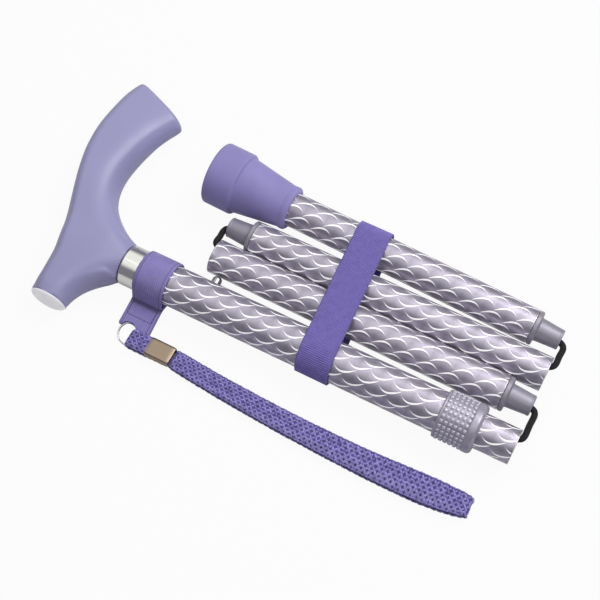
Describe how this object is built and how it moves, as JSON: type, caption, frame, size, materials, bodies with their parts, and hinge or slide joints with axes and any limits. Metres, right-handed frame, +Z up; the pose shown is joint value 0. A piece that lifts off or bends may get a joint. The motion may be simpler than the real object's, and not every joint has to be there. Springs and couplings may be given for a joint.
{
  "type": "walking cane",
  "caption": "Folding walking cane, folded: patterned tubes side by side under a derby handle, with plug joints on a cord, a height button, a locking ring, a ferrule and a wrist strap.",
  "frame": {"origin": "on the floor under the middle of the folded cane as it lies on its side, the wrist strap and what is on it left out", "axes": "+X along the upper tube away from the handle, +Y towards the folded sections and the grip's end, +Z up from the floor"},
  "size_m": [0.2876, 0.1488, 0.036],
  "materials": {
    "handle_satin": "satin lilac",
    "cap_plastic": "satin",
    "chrome": "polished",
    "tube_metal": "lacquered, with a pattern of pale arcs",
    "grey_plastic": "satin",
    "ferrule_rubber": "matt",
    "webbing": "woven",
    "braid": "braided",
    "elastic": "ribbed elastic",
    "cord": "braided cover",
    "steel": "plated",
    "bronze": "satin bronze plating"
  },
  "bodies": {
    "upper_section": {"handle_body": "handle_satin", "handle_end_cap": "cap_plastic", "handle_spigot": "steel", "handle_screw": "steel", "handle_collar": "chrome", "upper_tube": "tube_metal", "collet": "grey_plastic", "webbing_loop": "webbing", "split_ring": "steel", "strap_crimp": "bronze", "strap_loop": "braid", "wrist_strap": "braid"},
    "inner_section": {"inner_tube": "tube_metal", "inner_tube_bush": "grey_plastic", "button_spring": "steel", "upper_socket": "grey_plastic", "upper_cord_anchor": "grey_plastic", "upper_cord_bend": "cord", "elastic_band": "elastic"},
    "ring": {"locking_ring": "grey_plastic"},
    "button": {"snap_button": "chrome"},
    "upper_link": {"upper_cord_run": "cord"},
    "section_2": {"section_2_plug": "grey_plastic", "section_2_tube": "tube_metal", "section_2_socket": "grey_plastic", "middle_cord_bend": "cord"},
    "middle_link": {"middle_cord_run": "cord"},
    "section_3": {"section_3_plug": "grey_plastic", "section_3_tube": "tube_metal", "section_3_socket": "grey_plastic", "lower_cord_bend": "cord"},
    "lower_link": {"lower_cord_run": "cord"},
    "foot_section": {"foot_plug": "grey_plastic", "foot_tube": "tube_metal", "foot_cord": "cord", "foot_cord_anchor": "grey_plastic", "ferrule": "ferrule_rubber", "ferrule_washer": "steel"}
  },
  "joints": [
    {"name": "height_slide", "type": "slide", "parent": "upper_section", "child": "inner_section", "axis": [1, 0, 0], "range_m": [0, 0.12]},
    {"name": "ring_turn", "type": "hinge", "parent": "upper_section", "child": "ring", "pos_m": [-0.08518, -0.03178, 0.01343], "axis": [1, 0, 0], "range_deg": [0, 180]},
    {"name": "button_press", "type": "slide", "parent": "inner_section", "child": "button", "axis": [0, -1, 0], "range_m": [0, 0.0044], "stiffness_N_per_m": 600, "springref_m": -0.002, "deforming": ["button_spring"]},
    {"name": "seat_upper", "type": "slide", "parent": "inner_section", "child": "upper_link", "axis": [-1, 0, 0], "range_m": [0, 0.0186]},
    {"name": "fold_upper", "type": "hinge", "parent": "upper_link", "child": "section_2", "pos_m": [0.14252, -0.01967, 0.01343], "axis": [0, 0, -1], "range_deg": [0, 179.43], "deforming": ["upper_cord_bend", "elastic_band"]},
    {"name": "seat_middle", "type": "slide", "parent": "section_2", "child": "middle_link", "axis": [1, -0.0099, 0], "range_m": [0, 0.02]},
    {"name": "fold_middle", "type": "hinge", "parent": "middle_link", "child": "section_3", "pos_m": [-0.05005, 0.00404, 0.01343], "axis": [0, 0, 1], "range_deg": [0, 180], "deforming": ["middle_cord_bend"]},
    {"name": "seat_lower", "type": "slide", "parent": "section_3", "child": "lower_link", "axis": [-1, 0.0099, 0], "range_m": [0, 0.0188]},
    {"name": "fold_lower", "type": "hinge", "parent": "lower_link", "child": "foot_section", "pos_m": [0.14144, 0.0224, 0.01343], "axis": [-0.0113, 0.0001, -0.9999], "range_deg": [0, 179.06], "deforming": ["lower_cord_bend"]}
  ],
  "couplings": [
    {"joint": "fold_middle", "follows": "fold_upper", "ratio": 1.0032},
    {"joint": "fold_lower", "follows": "fold_upper", "ratio": 0.99794}
  ]
}
